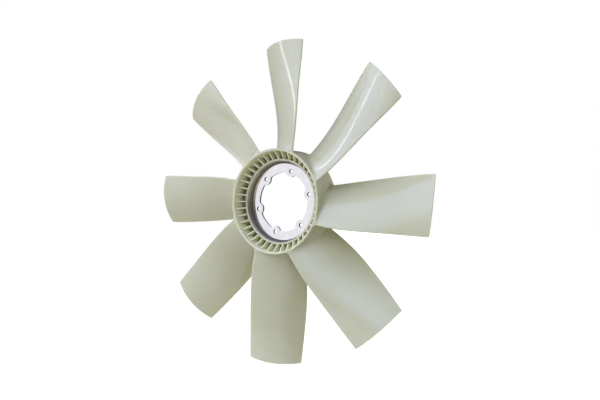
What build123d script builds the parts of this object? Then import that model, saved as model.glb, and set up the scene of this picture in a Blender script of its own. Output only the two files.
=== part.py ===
from build123d import *
import math
import os

# Engine cooling fan for a heavy truck: one nylon moulding round a metal bolt ring.
# It is drawn with its spin axis along Z and its front towards +Z, and turned at the end
# so that the front faces -Y and +Z is up. Millimetres.
# Z = 0 is the front face of the metal plate, and the origin is the centre of its bolt circle.

# Whole wheel
TIP_R = 352.0            # blade tips, a 704 mm fan
BLADES = 8
BLADE_PHASE = -1.85      # degrees, centre line of the first blade
TIP_CORNER_R = 1.5       # rounding of the tip corners seen from the front

# Outer wall of the hub, with a little draft
HUB_FRONT = 39.0         # front edge ahead of the plate
HUB_REAR = -34.0         # rear edge behind the plate
HUB_R_FRONT = 115.0
HUB_R_REAR = 116.0
WALL_T = 5.0
EDGE_BREAK = 1.0         # bevel on the inner edge of the rim and on the inner wall

# Inner wall that holds the metal ring, and the web between the two walls
RING_T = 2.5             # nylon round the metal collar
RING_FRONT = 15.2
RING_REAR = -20.0
LIP_T = 1.6              # nylon lip over the front edge of the metal collar
KEEPER_W = 4.5           # nylon shoulder behind the rim of the metal plate
WEB_FRONT = 1.0
WEB_REAR = -5.0

# Ribs across the hub channel, in front of the web
RIBS = 41
RIB_T = 3.0
RIB_PHASE = 57.85        # degrees
RIB_FRONT_DROP = 8.0     # from the rim down to the outer end of a rib
RIB_RING_DROP = 0.8      # from the inner wall down to the inner end of a rib
RIB_BITE = 1.0           # how far a rib runs into the walls and the web

# Metal ring
PLATE_T = 4.5
COLLAR_R = 90.0          # inside of the collar
COLLAR_T = 2.0
BEND = 3.0               # sloped corner between plate and collar
BOLT_HOLES = 6
BOLT_PCD = 140.0
BOLT_D = 9.0             # clearance hole for an M8 screw
BOLT_PHASE = 12.35       # degrees
BORE_INSET = 5.0         # bore between the lobes, inside the bolt circle
LOBE_R = 13.0            # rounded lobe round each bolt hole
LOBE_BLEND_R = 6.0

# Blade edges
LEAD_T = 4.0             # thickness behind the leading edge
TRAIL_T = 2.4            # thickness at the trailing edge
TIP_SPARE = 0.3          # tip outline outside the widest cut, each side
CUT_PAST = 1.0           # how far the hub cuts run past its ends


class Station:
    """One flat cut through a blade, square to the centre line of the blade."""

    def __init__(self, reach, lead, trail, rise, thick):
        self.reach = reach    # distance from the spin axis
        self.lead = lead      # leading edge: (across, forward)
        self.trail = trail    # trailing edge: (across, forward)
        self.rise = rise      # camber, towards the front
        self.thick = thick    # thickness at the middle of the chord


# The blade is steep, short and thick at the hub, and flat, wide and thin at the tip.
ROOT = Station(84, (-43.0, 35.5), (34.0, -17.5), 10.0, 17.0)
FOOT = Station(130, (-50.0, 37.5), (39.5, -31.0), 10.5, 7.0)
INNER = Station(185, (-54.5, 37.5), (46.5, -35.5), 11.0, 5.5)
MIDDLE = Station(240, (-56.0, 35.0), (52.0, -27.5), 11.0, 5.0)
OUTER = Station(300, (-58.0, 30.0), (56.5, -13.0), 11.0, 4.5)
TIP = Station(366, (-57.5, 26.0), (57.5, 3.0), 10.5, 4.0)


def blade_section(st):
    """Closed outline of one cut: two shallow arcs, a blunt wedge in front and a square edge behind."""
    lead = Vector(st.reach, *st.lead)
    trail = Vector(st.reach, *st.trail)
    along = (trail - lead).normalized()
    front = Vector(1, 0, 0).cross(along)
    start = lead + along * LEAD_T / 2
    lean = 2 * math.atan(2 * st.rise / (trail - start).length)
    up_start = (front * math.cos(lean) - along * math.sin(lean)) * LEAD_T / 2
    up_end = (front * math.cos(lean) + along * math.sin(lean)) * TRAIL_T / 2
    up_mid = front * st.thick / 2
    nose = start - (along * math.cos(lean) + front * math.sin(lean)) * LEAD_T / 2
    mid = (start + trail) / 2 + front * st.rise
    return Wire([
        Edge.make_three_point_arc(start + up_start, mid + up_mid, trail + up_end),
        Edge.make_line(trail + up_end, trail - up_end),
        Edge.make_three_point_arc(trail - up_end, mid - up_mid, start - up_start),
        Edge.make_line(start - up_start, nose),
        Edge.make_line(nose, start + up_start),
    ])


def revolved(points):
    """Solid of revolution about Z from a closed outline of (radius, height) points."""
    return revolve(make_face(Polyline(*[(r, 0, z) for r, z in points], close=True)), Axis.Z)


def wall_out(z):
    """Outside radius of the hub wall at height z."""
    return HUB_R_REAR + (HUB_R_FRONT - HUB_R_REAR) * (z - HUB_REAR) / (HUB_FRONT - HUB_REAR)


def wall_in(z):
    """Inside radius of the hub wall at height z."""
    return wall_out(z) - WALL_T


def turned(shape):
    """Turn the front of the fan from +Z to -Y."""
    return Rot(90, 0, 0) * shape


# Blades: one lofted blade, trimmed to the tip circle with rounded corners, then repeated
blade = Solid.make_loft([blade_section(st) for st in (ROOT, FOOT, INNER, MIDDLE, OUTER, TIP)])
tip_half = max(-TIP.lead[0], TIP.trail[0]) + TIP_SPARE
outline = Circle(TIP_R) & Pos(TIP_R / 2, 0, 0) * Rectangle(TIP_R, 2 * tip_half)
outline = fillet([v for v in outline.vertices() if v.X > TIP_R / 2], TIP_CORNER_R)
deep = HUB_FRONT - HUB_REAR
blade = blade & extrude(outline, amount=deep, both=True)
blades = [Rot(0, 0, BLADE_PHASE - 360 / BLADES * k) * blade for k in range(BLADES)]

# Hub: both walls and the web in one turned profile; the blades are fused to it as a solid plug,
# and then the channels and the seat of the metal ring are cut
plug = revolved([(0, HUB_REAR), (HUB_R_REAR, HUB_REAR), (HUB_R_FRONT, HUB_FRONT), (0, HUB_FRONT)])
wheel = plug + blades
collar_out = COLLAR_R + COLLAR_T
ring_out = collar_out + RING_T
collar_front = RING_FRONT - LIP_T
keeper_in = collar_out - KEEPER_W
top, low = HUB_FRONT + CUT_PAST, HUB_REAR - CUT_PAST
front_cut = [(0, RING_FRONT), (ring_out - EDGE_BREAK, RING_FRONT), (ring_out, RING_FRONT - EDGE_BREAK),
             (ring_out, WEB_FRONT), (wall_in(WEB_FRONT), WEB_FRONT),
             (wall_in(HUB_FRONT), HUB_FRONT - EDGE_BREAK), (wall_in(HUB_FRONT) + EDGE_BREAK, HUB_FRONT),
             (wall_in(HUB_FRONT) + EDGE_BREAK, top), (0, top)]
rear_cut = [(0, RING_REAR), (ring_out, RING_REAR), (ring_out, WEB_REAR), (wall_in(WEB_REAR), WEB_REAR),
            (wall_in(HUB_REAR), HUB_REAR), (wall_in(HUB_REAR), low), (0, low)]
seat_cut = [(0, low), (keeper_in, low), (keeper_in, -PLATE_T), (collar_out, -PLATE_T), (collar_out, collar_front),
            (COLLAR_R, collar_front), (COLLAR_R, top), (0, top)]
wheel = wheel - [revolved(front_cut), revolved(rear_cut), revolved(seat_cut)]

# Ribs: one rib drawn in its own plane, then repeated round the hub
rib_in, rib_out = ring_out - RIB_BITE, wall_in(WEB_FRONT) + RIB_BITE
rib_low = WEB_FRONT - RIB_BITE
rib_shape = make_face(Polyline((rib_in, 0, rib_low), (rib_out, 0, rib_low), (rib_out, 0, HUB_FRONT - RIB_FRONT_DROP),
                               (rib_in, 0, RING_FRONT - RIB_RING_DROP), close=True))
rib = extrude(rib_shape, amount=RIB_T / 2, both=True)
wheel = wheel + [Rot(0, 0, RIB_PHASE + 360 / RIBS * k) * rib for k in range(RIBS)]

# Metal ring: plate and collar in one, with a sloped corner, bolt holes and the scalloped bore
bore_r = BOLT_PCD / 2 - BORE_INSET
blank_in = bore_r - LOBE_R
ring = revolved([(blank_in, -PLATE_T), (collar_out, -PLATE_T), (collar_out, collar_front), (COLLAR_R, collar_front),
                 (COLLAR_R, BEND), (COLLAR_R - BEND, 0), (blank_in, 0)])
bolts = PolarLocations(BOLT_PCD / 2, BOLT_HOLES, start_angle=BOLT_PHASE)
bore = Circle(bore_r) - bolts * Circle(LOBE_R)
bore = fillet(bore.vertices(), LOBE_BLEND_R)
ring = ring - extrude(bore, amount=2 * PLATE_T, both=True)
ring = ring - bolts * Cylinder(BOLT_D / 2, 4 * PLATE_T)

os.makedirs("parts", exist_ok=True)
export_step(turned(wheel.solid()), "parts/fan_wheel.step")
export_step(turned(ring.solid()), "parts/insert_ring.step")
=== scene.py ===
import math
import bpy
import bmesh
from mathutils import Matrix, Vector


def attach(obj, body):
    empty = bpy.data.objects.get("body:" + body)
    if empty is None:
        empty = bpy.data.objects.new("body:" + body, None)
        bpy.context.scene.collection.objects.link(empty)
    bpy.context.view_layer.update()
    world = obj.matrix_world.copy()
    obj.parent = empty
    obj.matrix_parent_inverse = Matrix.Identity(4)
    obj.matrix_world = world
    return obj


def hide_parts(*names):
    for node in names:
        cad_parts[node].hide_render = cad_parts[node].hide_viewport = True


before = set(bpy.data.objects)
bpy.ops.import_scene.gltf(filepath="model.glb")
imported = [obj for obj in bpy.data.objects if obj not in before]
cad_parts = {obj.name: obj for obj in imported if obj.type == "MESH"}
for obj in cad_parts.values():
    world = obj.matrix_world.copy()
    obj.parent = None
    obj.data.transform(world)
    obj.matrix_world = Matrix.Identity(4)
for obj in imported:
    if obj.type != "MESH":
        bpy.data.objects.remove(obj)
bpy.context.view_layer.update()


# Bolt ring: the bright plate with six screw holes and a scalloped bore, and the dark collar round it.
# It is one ring of metal, pressed and turned, with the plate faced bright and the collar left dull.
# The nylon is moulded round its collar, so it needs no screws of its own.
bpy.ops.object.select_all(action="DESELECT")

PLATE_REAR = 0.0045
BEND, BEND_STEPS, ABOVE_BEND = 0.003, 6, 0.0006
COLLAR_IN, COLLAR_OUT, COLLAR_FRONT, COLLAR_MID = 0.090, 0.092, -0.0136, -0.008
BOLTS, BOLT_RING, BOLT_R, FIRST_BOLT = 6, 0.070, 0.0045, math.radians(12.35)
DRILL_STEPS, CHAMFER, DRILL_PAST = 48, 0.0005, 0.0006
BORE_R, LOBE_R, LOBE_BLEND = 0.065, 0.013, 0.006
BORE_BAND, BORE_ROUND, BORE_ARC = 0.0010, 0.0004, 0.00012
LARGEST_MARGIN = 0.01
FACED_R, FLAT_FACE = 0.085, 0.8
RING_STEPS = 480


def bore_edge(angle):
    """Radius of the scalloped bore at an angle: bore circle, blend and bolt lobe in turn."""
    pitch = math.radians(360 / BOLTS)
    off = abs((angle - FIRST_BOLT + pitch / 2) % pitch - pitch / 2)
    blend_mid = BORE_R - LOBE_BLEND
    reach = LOBE_R + LOBE_BLEND
    turn = math.acos((blend_mid ** 2 + BOLT_RING ** 2 - reach ** 2) / (2 * blend_mid * BOLT_RING))
    bolt = Vector((BOLT_RING, 0))
    blend = Vector((blend_mid * math.cos(turn), blend_mid * math.sin(turn)))
    touch = bolt + (blend - bolt) / reach * LOBE_R
    if off > turn:
        return BORE_R
    if off > math.atan2(touch.y, touch.x):
        swing = off - turn
        return blend_mid * math.cos(swing) + math.sqrt(LOBE_BLEND ** 2 - (blend_mid * math.sin(swing)) ** 2)
    return BOLT_RING * math.cos(off) - math.sqrt(LOBE_R ** 2 - (BOLT_RING * math.sin(off)) ** 2)


def lay_loop(radius, depth):
    """Put the selected loop on a circle at one depth behind the plate's face.

    A small radius is not a circle but a margin outside the bore's edge.
    """
    mesh = bmesh.from_edit_mesh(bpy.context.edit_object.data)
    for v in mesh.verts:
        if v.select:
            angle = math.atan2(v.co.z, v.co.x)
            r = bore_edge(angle) + radius if radius < LARGEST_MARGIN else radius
            v.co = (r * math.cos(angle), depth, r * math.sin(angle))
    bmesh.update_edit_mesh(bpy.context.edit_object.data)


bpy.ops.mesh.primitive_circle_add(vertices=RING_STEPS, radius=COLLAR_IN, rotation=(math.pi / 2, 0, 0))
bolt_ring = bpy.context.object
bolt_ring.name = bolt_ring.data.name = "bolt_ring"
bpy.ops.object.transform_apply(location=True, rotation=True, scale=True)
bpy.ops.object.mode_set(mode="EDIT")
bpy.ops.mesh.select_all(action="SELECT")
# round the section: inside of the collar, bend, face, bore edge, back, outside, front of the collar
section = [(COLLAR_IN, COLLAR_FRONT), (COLLAR_IN, COLLAR_MID), (COLLAR_IN, -BEND - ABOVE_BEND)]
for k in range(BEND_STEPS + 1):
    swing = math.radians(90 * k / BEND_STEPS)
    section.append((COLLAR_IN - BEND + BEND * math.cos(swing), -BEND + BEND * math.sin(swing)))
section += [(FACED_R, 0.0), (BORE_BAND, 0.0), (BORE_ROUND, 0.0), (BORE_ARC, BORE_ARC), (0.0, BORE_ROUND),
            (0.0, PLATE_REAR - BORE_ROUND), (BORE_ARC, PLATE_REAR - BORE_ARC), (BORE_ROUND, PLATE_REAR),
            (BORE_BAND, PLATE_REAR), (COLLAR_IN - BEND, PLATE_REAR), (COLLAR_OUT, PLATE_REAR),
            (COLLAR_OUT, COLLAR_FRONT), (COLLAR_IN, COLLAR_FRONT)]
lay_loop(*section[0])
for radius, depth in section[1:]:
    bpy.ops.mesh.extrude_region_move()
    lay_loop(radius, depth)
bpy.ops.mesh.select_all(action="SELECT")
bpy.ops.mesh.remove_doubles(threshold=1e-6)
bpy.ops.mesh.normals_make_consistent(inside=False)
bpy.ops.object.mode_set(mode="OBJECT")

# drills for the screw holes, flared at both ends to leave a small chamfer at both faces of the plate
flare = CHAMFER + DRILL_PAST
widen = (BOLT_R + flare) / BOLT_R
drills = []
for k in range(BOLTS):
    angle = FIRST_BOLT + math.radians(360 / BOLTS * k)
    bpy.ops.object.select_all(action="DESELECT")
    bpy.ops.mesh.primitive_cylinder_add(vertices=DRILL_STEPS, radius=BOLT_R, depth=PLATE_REAR - 2 * CHAMFER,
                                        location=(0, 0, 0), rotation=(math.pi / 2, 0, 0))
    drill = bpy.context.object
    bpy.ops.object.transform_apply(location=True, rotation=True, scale=True)
    bpy.ops.object.mode_set(mode="EDIT")
    for side in (-1, 1):
        bpy.ops.mesh.select_all(action="DESELECT")
        mesh = bmesh.from_edit_mesh(drill.data)
        for f in mesh.faces:
            f.select = f.normal.y * side > FLAT_FACE
        bmesh.update_edit_mesh(drill.data)
        bpy.ops.mesh.extrude_region_move(TRANSFORM_OT_translate={"value": (0, side * flare, 0)})
        bpy.ops.transform.resize(value=(widen, 1, widen))
    bpy.ops.object.mode_set(mode="OBJECT")
    drill.location = (BOLT_RING * math.cos(angle), PLATE_REAR / 2, BOLT_RING * math.sin(angle))
    bpy.ops.object.transform_apply(location=True, rotation=True, scale=True)
    drills.append(drill)
bpy.ops.object.select_all(action="DESELECT")
for drill in drills:
    drill.select_set(True)
bpy.context.view_layer.objects.active = drills[0]
bpy.ops.object.join()
drills = bpy.context.object
bpy.ops.object.select_all(action="DESELECT")
bpy.context.view_layer.objects.active = bolt_ring
bolt_ring.select_set(True)
cut = bolt_ring.modifiers.new("screw_holes", "BOOLEAN")
cut.operation, cut.solver, cut.object = "DIFFERENCE", "EXACT", drills
bpy.ops.object.modifier_apply(modifier=cut.name)
bpy.data.objects.remove(drills)
bpy.ops.object.shade_smooth_by_angle(angle=math.radians(35))


def wire(tree, kind, out, inputs, **settings):
    """Add a node and return one of its outputs. An input is a value or the output of another node."""
    node = tree.nodes.new(kind)
    for name, value in settings.items():
        setattr(node, name, value)
    for socket, value in inputs.items():
        if isinstance(value, bpy.types.NodeSocket):
            tree.links.new(value, node.inputs[socket])
        else:
            node.inputs[socket].default_value = value
    return node.outputs[out]


def new_finish(name, metallic=0.0):
    """A new material, with its node tree, its shader and the place on the object."""
    finish = bpy.data.materials.new(name)
    finish.use_nodes = True
    tree = finish.node_tree
    skin = tree.nodes["Principled BSDF"]
    skin.inputs["Metallic"].default_value = metallic
    return finish, tree, skin, wire(tree, "ShaderNodeTexCoord", "Object", {})


def noise(tree, place, scale, detail, roughness=0.5):
    """Soft irregular level from 0 to 1."""
    return wire(tree, "ShaderNodeTexNoise", "Fac",
                {"Vector": place, "Scale": scale, "Detail": detail, "Roughness": roughness})


def ranged(tree, level, start, end, low=0.0, high=1.0, shape="LINEAR"):
    """Level that goes from low to high while another goes from start to end."""
    return wire(tree, "ShaderNodeMapRange", "Result",
                {"Value": level, "From Min": start, "From Max": end, "To Min": low, "To Max": high},
                interpolation_type=shape)


def maths(tree, operation, one, other, clamp=False):
    """Level worked out from two, or from one and a number."""
    return wire(tree, "ShaderNodeMath", "Value", {0: one, 1: other}, operation=operation, use_clamp=clamp)


def from_axis(tree, place):
    """Distance from the spin axis."""
    flat = wire(tree, "ShaderNodeVectorMath", "Vector", {0: place, 1: (1, 0, 1)}, operation="MULTIPLY")
    return wire(tree, "ShaderNodeVectorMath", "Value", {0: flat}, operation="LENGTH")


def behind_face(tree, place):
    """Distance behind the plate's front face."""
    return wire(tree, "ShaderNodeSeparateXYZ", "Y", {"Vector": place})


def two_tone(tree, level, one, other):
    """Colour between two, each given as the level where it is reached and the colour."""
    ramp = tree.nodes.new("ShaderNodeValToRGB")
    for stop, (position, colour) in zip(ramp.color_ramp.elements, (one, other)):
        stop.position, stop.color = position, (*colour, 1)
    tree.links.new(level, ramp.inputs["Fac"])
    return ramp.outputs["Color"]


def set_surface(tree, skin, colour, rough, low, high):
    """Give the shader its colour, and a roughness between low and high."""
    tree.links.new(colour, skin.inputs["Base Color"])
    tree.links.new(ranged(tree, rough, 0.0, 1.0, low, high), skin.inputs["Roughness"])


def set_relief(tree, skin, level, strength, distance):
    """Give the shader a fine relief."""
    relief = wire(tree, "ShaderNodeBump", "Normal", {"Strength": strength, "Distance": distance, "Height": level})
    tree.links.new(relief, skin.inputs["Normal"])


# faced plate: fine rings left by the lathe, a few handling marks, bright and slightly lilac
faced_plate, tree, skin, place = new_finish("faced_plate", metallic=1.0)
lathe = wire(tree, "ShaderNodeTexNoise", "Fac", {"W": from_axis(tree, place), "Scale": 2600, "Detail": 3},
             noise_dimensions="1D")
smudge = noise(tree, place, scale=60, detail=4)
tint = two_tone(tree, smudge, (0.30, (0.76, 0.745, 0.785)), (0.70, (0.84, 0.825, 0.865)))
set_surface(tree, skin, tint, smudge, 0.03, 0.09)
set_relief(tree, skin, lathe, strength=0.06, distance=0.0001)

# dull collar: dark drawn metal with streaks that run round it; painted shade makes it darker still towards its foot
# at the plate and on the walls of the holes and the bore
dull_collar, tree, skin, place = new_finish("dull_collar", metallic=1.0)
along_streaks = wire(tree, "ShaderNodeMapping", "Vector", {"Vector": place, "Scale": (6, 900, 6)})
streak = noise(tree, along_streaks, scale=1.0, detail=5)
tint = two_tone(tree, streak, (0.32, (0.29, 0.262, 0.188)), (0.70, (0.52, 0.473, 0.345)))
# painted shade: the walls of the holes and the bore are painted much darker, and the collar darker towards its foot
# at the plate
painted_shade_in_holes = ranged(tree, from_axis(tree, place), 0.080, 0.086, 0.18, 1.0)
painted_shade_at_foot = ranged(tree, behind_face(tree, place), -0.0035, -0.0003, 1.1, 0.30)
shade = wire(tree, "ShaderNodeVectorMath", "Vector",
             {0: tint, "Scale": maths(tree, "MULTIPLY", painted_shade_in_holes, painted_shade_at_foot)}, operation="SCALE")
set_surface(tree, skin, shade, streak, 0.46, 0.62)
set_relief(tree, skin, streak, strength=0.25, distance=0.0002)

# back of the ring: plain grey metal, as rolled, with a soft sheen
rolled_back, tree, skin, place = new_finish("rolled_back", metallic=1.0)
patch = noise(tree, place, scale=45, detail=5)
tint = two_tone(tree, patch, (0.30, (0.36, 0.35, 0.35)), (0.70, (0.46, 0.45, 0.45)))
set_surface(tree, skin, tint, patch, 0.30, 0.42)

bolt_ring.data.materials.clear()
for finish in (faced_plate, dull_collar, rolled_back):
    bolt_ring.data.materials.append(finish)
for f in bolt_ring.data.polygons:
    if f.normal.y > FLAT_FACE:
        f.material_index = 2
    elif math.hypot(f.center.x, f.center.z) > FACED_R or f.normal.y > -FLAT_FACE:
        f.material_index = 1
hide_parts("insert_ring")
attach(bolt_ring, "root")


# Hub of the fan wheel: an outer wall that carries the blades, an inner wall round the bolt ring and a web
# between them. Natural nylon, moulded in one shot with the ribs and the blades; every edge is softened
# and the corners inside are filleted, as a moulding needs.
bpy.ops.object.select_all(action="DESELECT")

HUB_STEPS, CORNER_STEPS = 164, 4
# (radius, forward of the plate's face, rounding) in millimetres, once round the section from the rear edge
hub_section = [(116.0, -34.0, 0.9), (115.0, 39.0, 1.6), (110.0, 39.0, 2.0), (110.5, 1.0, 2.5), (94.5, 1.0, 2.0),
               (94.5, 15.2, 0.9), (90.0, 15.2, 0.6), (90.0, 13.6, 0.0), (92.0, 13.6, 0.0), (92.0, -4.5, 0.0),
               (87.5, -4.5, 0.0), (87.5, -20.0, 0.8), (94.5, -20.0, 0.8), (94.5, -5.0, 2.0), (110.6, -5.0, 2.5),
               (111.0, -34.0, 0.9)]
bpy.ops.mesh.primitive_plane_add(size=0.001)
hub = bpy.context.object
hub.name = hub.data.name = "fan_wheel_moulding"
bpy.ops.object.mode_set(mode="EDIT")
bpy.ops.mesh.select_all(action="SELECT")
bpy.ops.mesh.merge(type="CENTER")


def step_to(radius, forward):
    """Move the one selected point of the section to its place in the XY plane."""
    mesh = bmesh.from_edit_mesh(bpy.context.edit_object.data)
    for v in mesh.verts:
        if v.select:
            v.co = (radius / 1000, -forward / 1000, 0)
    bmesh.update_edit_mesh(bpy.context.edit_object.data)


for k, (radius, forward, rounding) in enumerate(hub_section):
    before, after = hub_section[k - 1], hub_section[(k + 1) % len(hub_section)]
    here = Vector((radius, forward))
    inward = (Vector(before[:2]) - here).normalized()
    onward = (Vector(after[:2]) - here).normalized()
    steps = CORNER_STEPS if rounding > 0 else 0
    for n in range(steps + 1):
        # a quadratic curve from one side of the corner to the other
        t = n / steps if steps else 0
        spot = here + inward * rounding * (1 - t) ** 2 + onward * rounding * t ** 2
        if k or n:
            bpy.ops.mesh.extrude_vertices_move()
        step_to(*spot)
# the two loose ends are joined, and the closed section is spun round the axis
mesh = bmesh.from_edit_mesh(hub.data)
bpy.ops.mesh.select_all(action="DESELECT")
for v in mesh.verts:
    v.select = len(v.link_edges) == 1
bmesh.update_edit_mesh(hub.data)
bpy.ops.mesh.edge_face_add()
bpy.ops.mesh.select_all(action="SELECT")
bpy.ops.mesh.spin(steps=HUB_STEPS, angle=2 * math.pi, center=(0, 0, 0), axis=(0, 1, 0))
bpy.ops.mesh.select_all(action="SELECT")
bpy.ops.mesh.remove_doubles(threshold=2e-6)
bpy.ops.mesh.normals_make_consistent(inside=False)
bpy.ops.object.mode_set(mode="OBJECT")


# Ribs: 41 thin walls across the front channel of the hub, low at the inner wall and high at the outer one.
# They are part of the nylon moulding, thinner at the top so that the mould lets go of them.
bpy.ops.object.select_all(action="DESELECT")

RIBS, FIRST_RIB = 41, math.radians(57.85)
RIB_IN, RIB_OUT = 0.0935, 0.1115
RIB_FOOT, RIB_TOP_IN, RIB_TOP_OUT = 0.0, 0.0144, 0.031
HALF_AT_FOOT, HALF_AT_TOP, RIB_ROUND = 0.0017, 0.0014, 0.0007
bpy.ops.mesh.primitive_cube_add(size=1)
ribs = bpy.context.object
ribs.name = ribs.data.name = "hub_ribs"
bpy.ops.object.mode_set(mode="EDIT")
mesh = bmesh.from_edit_mesh(ribs.data)
for v in mesh.verts:
    outer, top = v.co.x > 0, v.co.y < 0
    half = (HALF_AT_TOP if top else HALF_AT_FOOT) * (1 if v.co.z > 0 else -1)
    forward = (RIB_TOP_OUT if outer else RIB_TOP_IN) if top else RIB_FOOT
    v.co = (RIB_OUT if outer else RIB_IN, -forward, half)
# the two long edges at the top are rounded
bpy.ops.mesh.select_all(action="DESELECT")
for e in mesh.edges:
    one, other = e.verts
    at_top = max(one.co.y, other.co.y) < -RIB_TOP_IN / 2
    e.select = at_top and abs(one.co.x - other.co.x) > (RIB_OUT - RIB_IN) / 2
bmesh.update_edit_mesh(ribs.data)
bpy.ops.mesh.bevel(offset=RIB_ROUND, segments=3, affect="EDGES")
bpy.ops.mesh.select_all(action="SELECT")
bpy.ops.transform.rotate(value=-FIRST_RIB, orient_axis="Y", center_override=(0, 0, 0))
bpy.ops.mesh.spin(steps=RIBS - 1, dupli=True, angle=2 * math.pi * (RIBS - 1) / RIBS, center=(0, 0, 0),
                  axis=(0, 1, 0))
bpy.ops.mesh.select_all(action="SELECT")
bpy.ops.mesh.normals_make_consistent(inside=False)
bpy.ops.object.mode_set(mode="OBJECT")


# Blades: eight alike, steep and thick at the hub, flat and thin at the tip, with a round leading edge, a thin
# blunt trailing edge and a soft blend into the hub wall. Part of the same nylon moulding, in millimetres here.
bpy.ops.object.select_all(action="DESELECT")

BLADES, FIRST_BLADE = 8, math.radians(-1.85)
TIP_R, TIP_CORNER, TIP_EDGE, TIP_PULL = 351.98, 1.5, 0.6, 0.8
LEAD_HALF, TRAIL_HALF, TRAIL_EDGE = 2.0, 1.2, 0.7
ROOT_BLEND, BLEND_ANGLES = 7.0, (75, 62, 50, 38, 26, 13)
FOOT_DEEP, FOOT_SHALLOW, FOOT_SWELL = -1.9, -0.5, 8.0
FOOT_FRONT, FOOT_REAR, TRAIL_PAST = 38.7, -33.4, 2.9
FACE_STEPS, LEAD_STEPS, SPAN_STEPS = 26, 10, 34
CLOSED = 99
FOOT_GUESS, OPEN_GUESS, GUESSES = 120.0, 200.0, 12
# flat cuts square to the blade: reach, lead (across, forward), trail (across, forward), camber, thickness
blade_cuts = [(84, -43.0, 35.5, 34.0, -17.5, 10.0, 17.0), (130, -50.0, 37.5, 39.5, -31.0, 10.5, 7.0),
              (185, -54.5, 37.5, 46.5, -35.5, 11.0, 5.5), (240, -56.0, 35.0, 52.0, -27.5, 11.0, 5.0),
              (300, -58.0, 30.0, 56.5, -13.0, 11.0, 4.5), (366, -57.5, 26.0, 57.5, 3.0, 10.5, 4.0)]


def cut_at(reach):
    """The cut's values at any reach, on one smooth curve through the six cuts."""
    values = [0.0] * 6
    for i, cut in enumerate(blade_cuts):
        weight = 1.0
        for j, other in enumerate(blade_cuts):
            if i != j:
                weight *= (reach - other[0]) / (cut[0] - other[0])
        for n in range(6):
            values[n] += weight * cut[n + 1]
    return values


def blade_point(reach, place, side, turn, trim, shrink, grow):
    """A point of the outline of one cut, as (across, forward).

    place runs from the leading edge (0) to the trailing edge (1). side is 1 on the front and -1 on the back.
    turn is the angle round an edge, or None on the faces. trim shortens both ends, shrink thins the blade,
    and grow swells it outwards.
    """
    lead_a, lead_f, trail_a, trail_f, rise, thick = cut_at(reach)
    lead, trail = Vector((lead_a, lead_f)), Vector((trail_a, trail_f))
    along = (trail - lead).normalized()
    front = Vector((-along.y, along.x))
    start = lead + along * LEAD_HALF
    length = (trail - start).length
    lean = 2 * math.atan(2 * rise / length)
    bow = length / (2 * math.sin(lean))
    near, far = trim / length, 1 - (trim + TRAIL_EDGE) / length
    s = near + (far - near) * place
    swing = lean * (1 - 2 * s)
    centre = start + along * (length / 2 - bow * math.sin(swing))
    centre += front * bow * (math.cos(swing) - math.cos(lean))
    tangent = along * math.cos(swing) + front * math.sin(swing)
    normal = front * math.cos(swing) - along * math.sin(swing)
    half = LEAD_HALF * (1 - s) * (1 - 2 * s) + thick / 2 * 4 * s * (1 - s) + TRAIL_HALF * s * (2 * s - 1)
    half = max(half - shrink, 0.0)
    if turn is None:
        return centre + normal * side * (half + grow)
    if place == 0:
        return centre + (normal * math.sin(turn) - tangent * math.cos(turn)) * (half + grow)
    edge = min(TRAIL_EDGE, half)
    out = normal * math.sin(turn) + tangent * math.cos(turn)
    return centre + normal * side * (half - edge) + out * (edge + grow)


# round the outline, as (place, side, turn): trailing edge, front face, leading edge, back face, trailing edge
outline = [(1, 0, 0.0)] + [(1, 1, math.radians(a)) for a in (0, 30, 60)]
outline += [((1 + math.cos(math.pi * k / FACE_STEPS)) / 2, 1, None) for k in range(FACE_STEPS)]
outline += [(0, 1, math.radians(90 - 180 / LEAD_STEPS * k)) for k in range(LEAD_STEPS + 1)]
outline += [((1 - math.cos(math.pi * k / FACE_STEPS)) / 2, -1, None) for k in range(1, FACE_STEPS + 1)]
outline += [(1, -1, math.radians(-a)) for a in (60, 30, 0)] + [(1, 0, 0.0)]

# from the hub to the tip, as (span, height over the hub wall, trim, shrink, grow): span is None on the foot,
# the share of the open blade up to 1, and a radius at the tip
rows = [(None, FOOT_DEEP, 0, CLOSED, 0), (None, FOOT_DEEP, 0, 0, FOOT_SWELL), (None, FOOT_SHALLOW, 0, 0, FOOT_SWELL)]
for a in BLEND_ANGLES:
    a = math.radians(a)
    rows.append((None, ROOT_BLEND * (1 - math.sin(a)), 0, 0, ROOT_BLEND * (1 - math.cos(a))))
rows += [(k / SPAN_STEPS, 0, 0, 0, 0) for k in range(SPAN_STEPS + 1)]
first_trim = TIP_CORNER - math.sqrt(TIP_CORNER ** 2 - (TIP_CORNER - TIP_EDGE) ** 2)
rows.append((TIP_R - TIP_EDGE, 0, first_trim, 0, 0))
for a in (30, 60, 90):
    a = math.radians(a)
    more_trim = (TIP_CORNER - first_trim) * (1 - math.cos(a)) * TIP_PULL
    rows.append((TIP_R - TIP_EDGE * (1 - math.sin(a)), 0, first_trim + more_trim, TIP_EDGE * (1 - math.cos(a)), 0))
rows.append((TIP_R, 0, TIP_CORNER, CLOSED, 0))


def hub_wall(forward):
    """Outside radius of the hub wall."""
    (rear_r, rear), (front_r, front) = hub_section[0][:2], hub_section[1][:2]
    return rear_r + (front_r - rear_r) * (forward - rear) / (front - rear)


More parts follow.
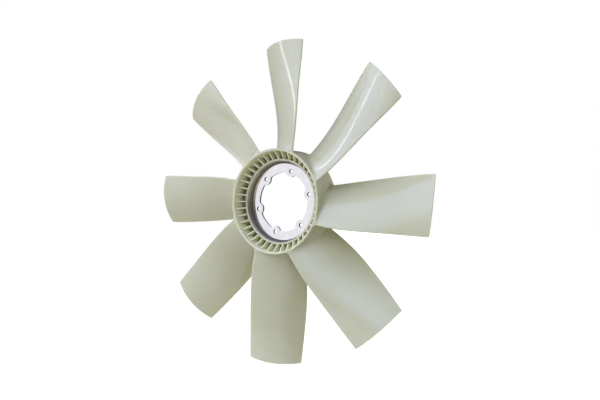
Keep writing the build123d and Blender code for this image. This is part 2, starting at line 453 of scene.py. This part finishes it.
bpy.ops.mesh.primitive_grid_add(x_subdivisions=len(outline) - 1, y_subdivisions=len(rows) - 1, size=2)
blades = bpy.context.object
blades.name = blades.data.name = "fan_blades"
for v in blades.data.vertices:
    place, side, turn = outline[round((v.co.x + 1) / 2 * (len(outline) - 1))]
    span, height, trim, shrink, grow = rows[round((v.co.y + 1) / 2 * (len(rows) - 1))]
    on_foot = span is None
    # the foot stays within the depth of the hub wall; further out the trailing edge stands a little behind it
    rear = FOOT_REAR if on_foot else FOOT_REAR - TRAIL_PAST * min(1.0, 3 * span)
    # the reach that puts the point on its radius is found by repeated guesses
    reach = FOOT_GUESS if on_foot else OPEN_GUESS
    for again in range(GUESSES):
        spot = blade_point(reach, place, side, turn, trim, shrink, grow)
        across, forward = spot.x, min(max(spot.y, rear), FOOT_FRONT)
        if on_foot:
            r = hub_wall(forward) + height
        elif span > 1:
            r = span
        else:
            r = (hub_wall(forward) + ROOT_BLEND) * (1 - span) + (TIP_R - TIP_CORNER) * span
        reach = math.sqrt(max(r * r - across * across, 1.0))
    v.co = ((reach * math.cos(FIRST_BLADE) - across * math.sin(FIRST_BLADE)) / 1000, -forward / 1000,
            (reach * math.sin(FIRST_BLADE) + across * math.cos(FIRST_BLADE)) / 1000)
bpy.ops.object.mode_set(mode="EDIT")
bpy.ops.mesh.select_all(action="SELECT")
bpy.ops.mesh.remove_doubles(threshold=2e-6)
bpy.ops.mesh.normals_make_consistent(inside=False)
bpy.ops.mesh.spin(steps=BLADES - 1, dupli=True, angle=2 * math.pi * (BLADES - 1) / BLADES, center=(0, 0, 0),
                  axis=(0, 1, 0))
bpy.ops.mesh.select_all(action="SELECT")
bpy.ops.mesh.normals_make_consistent(inside=False)
bpy.ops.object.mode_set(mode="OBJECT")

# hub, ribs and blades become the one moulding that they are
bpy.ops.object.select_all(action="DESELECT")
bpy.context.view_layer.objects.active = hub
hub.select_set(True)
for part in (ribs, blades):
    fuse = hub.modifiers.new("fuse", "BOOLEAN")
    fuse.operation, fuse.solver, fuse.object = "UNION", "EXACT", part
    bpy.ops.object.modifier_apply(modifier=fuse.name)
    bpy.data.objects.remove(part)
bpy.ops.object.shade_smooth_by_angle(angle=math.radians(32))

# natural nylon: translucent, ivory with a green cast, satin from the mould, a little cloudy
natural_nylon, tree, skin, place = new_finish("natural_nylon")
cloud = noise(tree, place, scale=9, detail=4, roughness=0.45)
tint = two_tone(tree, cloud, (0.30, (0.500, 0.488, 0.288)), (0.72, (0.545, 0.535, 0.330)))
# in the front channel the colour is painted lighter and cooler towards the rib tops and the front of the wall, as
# painted light for the glow through the thin nylon, and darker at the floor between the ribs, as painted shade
radius, depth = from_axis(tree, place), behind_face(tree, place)
in_channel = maths(tree, "MULTIPLY", ranged(tree, radius, 0.0942, 0.0952), ranged(tree, radius, 0.1120, 0.1108))
in_channel = maths(tree, "MULTIPLY", in_channel, ranged(tree, depth, 0.003, 0.001))
# painted light towards the front of the channel, painted shade at its floor
painted_light_and_shade = wire(tree, "ShaderNodeMixRGB", "Color", {"Fac": ranged(tree, depth, -0.012, -0.002),
                                                  "Color1": (1.42, 1.43, 1.58, 1), "Color2": (0.70, 0.68, 0.64, 1)})
shade = wire(tree, "ShaderNodeMixRGB", "Color", {"Fac": in_channel, "Color1": tint, "Color2": painted_light_and_shade},
             blend_type="MULTIPLY")
skin.inputs["Subsurface Weight"].default_value = 0.9
skin.inputs["Subsurface Radius"].default_value = (0.0052, 0.0050, 0.0036)
skin.inputs["Subsurface Scale"].default_value = 1.0
skin.inputs["IOR"].default_value = 1.53
grain = noise(tree, place, scale=260, detail=3)
set_surface(tree, skin, shade, grain, 0.09, 0.16)
set_relief(tree, skin, grain, strength=0.05, distance=0.0004)
hub.data.materials.clear()
hub.data.materials.append(natural_nylon)
for f in hub.data.polygons:
    f.material_index = 0
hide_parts("fan_wheel")
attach(hub, "root")


# Floor: a wide pale sweep under the blade tips. It shows white to the camera and pale in the metal,
# and keeps a soft shadow of the fan.
bpy.ops.object.select_all(action="DESELECT")
bpy.ops.mesh.primitive_grid_add(x_subdivisions=8, y_subdivisions=8, size=14, location=(0, 3, -0.3526))
floor = bpy.context.object
floor.name = "studio_floor"
bpy.ops.object.transform_apply(location=True, rotation=True, scale=True)
pale_sweep = bpy.data.materials.new("pale_sweep")
pale_sweep.use_nodes = True
tree = pale_sweep.node_tree
matt = tree.nodes["Principled BSDF"]
matt.inputs["Base Color"].default_value = (0.64, 0.60, 0.49, 1)
matt.inputs["Roughness"].default_value = 0.9
matt.inputs["Specular IOR Level"].default_value = 0.1
rays = tree.nodes.new("ShaderNodeLightPath").outputs
seen = maths(tree, "ADD", rays["Is Camera Ray"], rays["Is Glossy Ray"], clamp=True)
seen = maths(tree, "ADD", seen, rays["Is Transmission Ray"], clamp=True)
matt.inputs["Emission Color"].default_value = (1, 1, 1, 1)
tree.links.new(maths(tree, "MULTIPLY", seen, 0.72), matt.inputs["Emission Strength"])
floor.data.materials.append(pale_sweep)


# Studio room: white to the camera. The fan itself sees a pale room, darker to the right and behind, with soft
# light from high in front and from behind, and with cool windows on the left, on the right and at the far left.
# In reflections the room is greyer, with a white wall ahead on the left, a white back and one cool window.
world = bpy.data.worlds.new("studio_room")
bpy.context.scene.world = world
world.use_nodes = True
tree = world.node_tree
tree.nodes.clear()
rays = tree.nodes.new("ShaderNodeLightPath").outputs
way = wire(tree, "ShaderNodeTexCoord", "Generated", {})
UP = (0, 0, 1)


def towards(direction, dark, light, low=0.0, high=1.0):
    """Level that rises softly from low to high as a ray turns towards a direction."""
    share = wire(tree, "ShaderNodeVectorMath", "Value", {0: way, 1: direction}, operation="DOT_PRODUCT")
    return ranged(tree, share, dark, light, low, high, "SMOOTHSTEP")


def glow(colour, level):
    """A glowing part of the room."""
    return wire(tree, "ShaderNodeBackground", "Background", {"Color": (*colour, 1), "Strength": level})


def together(one, other):
    """Two glowing parts at once."""
    return wire(tree, "ShaderNodeAddShader", "Shader", {0: one, 1: other})


def chosen(level, one, other):
    """One part of the room, or another where the level is 1."""
    return wire(tree, "ShaderNodeMixShader", "Shader", {"Fac": level, 1: one, 2: other})


def window(direction, dark, light, sill, head, colour, strength):
    """A soft window: a direction on the level, a height band and its colour."""
    band = maths(tree, "MULTIPLY", towards(UP, *sill), towards(UP, *head, 1.0, 0.0))
    return glow(colour, maths(tree, "MULTIPLY", towards(direction, dark, light, 0.0, strength), band))


room = maths(tree, "MULTIPLY", towards((-0.77, -0.64, 0), -0.70, 0.15, 0.12, 1.0), towards(UP, 0.45, 1.0, 1.0, 0.45))
lit = glow((1, 0.985, 0.90), maths(tree, "MULTIPLY", room, 0.715))
for part in (glow((0.62, 0.60, 1.0), towards((-0.2, -0.86, 0.47), 0.35, 0.95, 0.0, 0.75)),
             glow((1, 1, 1), towards((0, 1, 0), 0.35, 0.90, 0.0, 0.85)),
             window((-0.643, -0.766, 0), 0.25, 0.90, (0.05, 0.40), (0.70, 0.95), (0.39, 0.48, 1.0), 3.3),
             window((0.5, -0.866, 0), 0.45, 0.95, (0.03, 0.30), (0.70, 0.95), (0.56, 0.76, 1.0), 0.75),
             window((-0.94, 0.34, 0), 0.45, 0.95, (0.03, 0.30), (0.98, 1.0), (0.54, 0.70, 1.0), 0.3)):
    lit = together(lit, part)

white_wall = towards((-0.588, -0.809, 0), 0.86, 0.97)
white_back = towards((0.45, 0.89, 0), 0.60, 0.90)
dark_side = towards((0.57, -0.82, 0), 0.80, 0.95, 1.0, 0.25)
mirrored = maths(tree, "MAXIMUM", maths(tree, "MULTIPLY", room, 0.34), white_wall)
mirrored = maths(tree, "MULTIPLY", maths(tree, "MAXIMUM", mirrored, white_back), dark_side)
mirrored_window = maths(tree, "MULTIPLY", towards((-0.50, -0.75, 0.43), 0.40, 0.95),
                        towards(UP, 0.08, 0.45, 0.0, 2.8))
reflected = together(glow((1, 1, 1), mirrored), glow((0.43, 0.55, 1.0), mirrored_window))

sharp = maths(tree, "ADD", rays["Is Glossy Ray"], rays["Is Transmission Ray"])
backdrop = wire(tree, "ShaderNodeBackground", "Background", {"Color": (1, 1, 1, 1), "Strength": 1.0})
shown = chosen(rays["Is Camera Ray"], chosen(sharp, lit, reflected), backdrop)
tree.links.new(shown, tree.nodes.new("ShaderNodeOutputWorld").inputs["Surface"])


# Strip lamp: narrow and upright on the left, it draws the streaks on the blades.
# It is aimed a little to the right of the hub and above it.
strip = bpy.data.lights.new("strip_left", "AREA")
strip.shape = "RECTANGLE"
strip.energy, strip.color = 1.1, (1.0, 1.0, 1.0)
strip.size, strip.size_y = 0.07, 0.63
holder = bpy.data.objects.new("strip_left", strip)
bpy.context.scene.collection.objects.link(holder)
holder.location = (-1.20, -0.70, 0.735)
aim = Vector((0.1, 0, 0.15)) - holder.location
holder.rotation_euler = aim.to_track_quat("-Z", "Y").to_euler()


# Camera: from the front right, level with the hub, as the photograph was taken.
# Its place, direction and lens were fitted to the outline of the fan.
lens = bpy.data.cameras.new("camera")
lens.lens, lens.sensor_width = 32.36, 36.0
lens.clip_start, lens.clip_end = 0.05, 60
camera = bpy.data.objects.new("camera", lens)
bpy.context.scene.collection.objects.link(camera)
camera.location = (0.6943, -0.9767, -0.0298)
camera.rotation_euler = Vector((-0.55328, 0.83252, 0.02799)).to_track_quat("-Z", "Y").to_euler()
bpy.context.scene.camera = camera
bpy.context.scene.view_settings.view_transform = "Standard"
